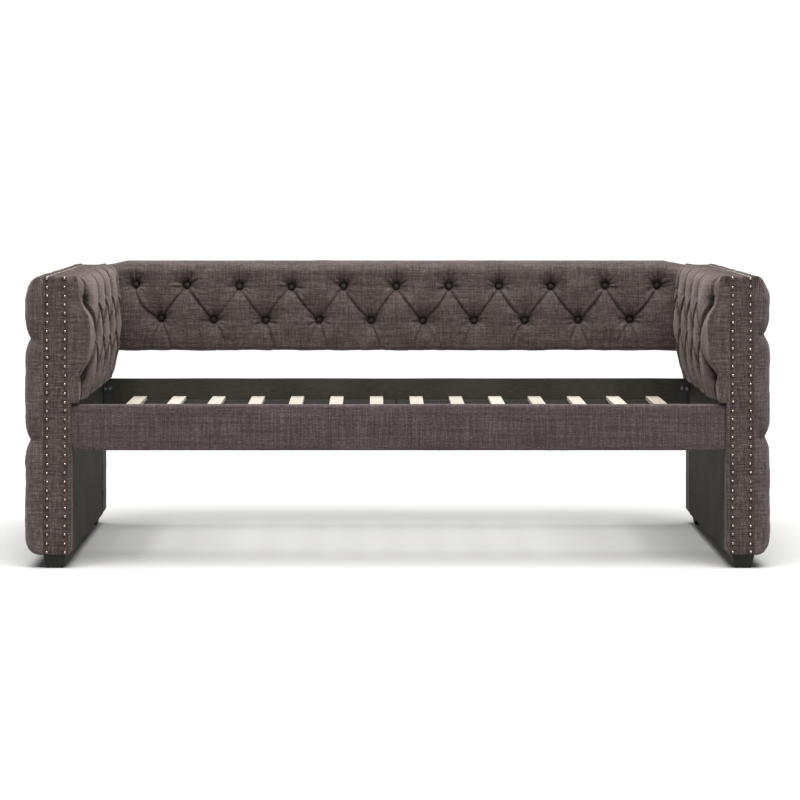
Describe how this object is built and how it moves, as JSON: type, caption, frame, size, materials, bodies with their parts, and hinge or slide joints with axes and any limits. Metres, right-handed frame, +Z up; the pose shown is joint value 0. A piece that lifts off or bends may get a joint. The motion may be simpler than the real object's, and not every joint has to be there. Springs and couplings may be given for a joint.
{
  "type": "daybed",
  "caption": "Button-tufted upholstered daybed frame with slab arms, a low tufted back panel, padded side rails and a slatted base for a twin mattress.",
  "frame": {"origin": "centre of the footprint on the floor, under the feet", "axes": "+X to the right along the bed, +Y to the rear where the back panel is, +Z up"},
  "size_m": [2.232, 1.09, 0.888],
  "materials": {
    "upholstery": "matte",
    "button_cloth": "matte",
    "foam": "matte",
    "black_cloth": "matte",
    "nail_metal": "polished",
    "foot_paint": "satin",
    "black_wood": "matte",
    "slat_pine": "matte",
    "black_steel": "satin",
    "bolt_steel": "satin",
    "zinc_steel": "satin",
    "plywood": "matte",
    "frame_timber": "matte"
  },
  "bodies": {
    "root": {"arm_dust_covers": "black_cloth", "arm_edge_wraps": "upholstery", "back_bolts": "zinc_steel", "back_bottom_rail": "frame_timber", "back_buttons": "button_cloth", "back_cover": "upholstery", "back_foam": "foam", "back_rail_board": "plywood", "back_rail_cleats": "black_wood", "back_rail_cover": "upholstery", "back_rail_foam": "foam", "back_rear_panel": "upholstery", "back_stiles": "frame_timber", "back_top_rail": "frame_timber", "back_tufting_board": "plywood", "corner_blocks": "frame_timber", "corner_brackets": "black_steel", "foot_bolts": "zinc_steel", "front_feet": "foot_paint", "front_rail_board": "plywood", "front_rail_cleats": "black_wood", "front_rail_cover": "upholstery", "front_rail_foam": "foam", "left_arm_bottom_rail": "frame_timber", "left_arm_front_post": "frame_timber", "left_arm_inner_buttons": "button_cloth", "left_arm_inner_cover": "upholstery", "left_arm_inner_foam": "foam", "left_arm_lower_panel": "black_cloth", "left_arm_mid_rail": "frame_timber", "left_arm_nailheads": "nail_metal", "left_arm_outer_board": "plywood", "left_arm_outer_buttons": "button_cloth", "left_arm_outer_cover": "upholstery", "left_arm_outer_foam": "foam", "left_arm_rear_post": "frame_timber", "left_arm_top_rail": "frame_timber", "left_arm_trim_band": "upholstery", "left_arm_tufting_board": "plywood", "rail_bolts": "bolt_steel", "rail_inner_linings": "black_cloth", "rear_feet": "foot_paint", "right_arm_bottom_rail": "frame_timber", "right_arm_front_post": "frame_timber", "right_arm_inner_buttons": "button_cloth", "right_arm_inner_cover": "upholstery", "right_arm_inner_foam": "foam", "right_arm_lower_panel": "black_cloth", "right_arm_mid_rail": "frame_timber", "right_arm_nailheads": "nail_metal", "right_arm_outer_board": "plywood", "right_arm_outer_buttons": "button_cloth", "right_arm_outer_cover": "upholstery", "right_arm_outer_foam": "foam", "right_arm_rear_post": "frame_timber", "right_arm_top_rail": "frame_timber", "right_arm_trim_band": "upholstery", "right_arm_tufting_board": "plywood", "slat_screws": "zinc_steel", "slats": "slat_pine"}
  },
  "joints": []
}
